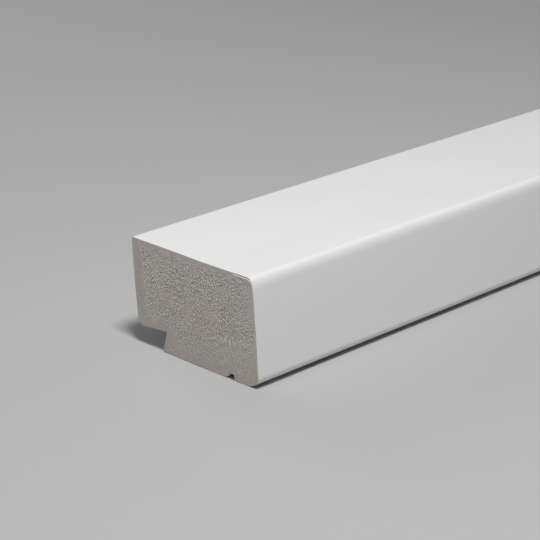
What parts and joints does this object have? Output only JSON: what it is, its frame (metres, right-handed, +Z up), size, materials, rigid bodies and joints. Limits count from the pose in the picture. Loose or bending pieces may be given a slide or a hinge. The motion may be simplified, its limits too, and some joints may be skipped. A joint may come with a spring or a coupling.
{
  "type": "window sill",
  "caption": "Window sill moulding in white cellular PVC: a solid section with an eased front edge, a drip nose and kerf below, and a rebate under the back, sawn square at both ends.",
  "frame": {"origin": "centre of the bounding box's base, in the plane of the underside", "axes": "+X along the length, -Y out of the building through the front face, +Z up from the underside to the top; once fixed, the sill tips forward by 5 degrees about X"},
  "size_m": [0.3, 0.0706, 0.044],
  "materials": {
    "white_cellular_pvc": "satin extruded skin, with sawn ends that show the fine foam of the core"
  },
  "bodies": {
    "root": {"window_sill": "white_cellular_pvc"}
  },
  "joints": []
}
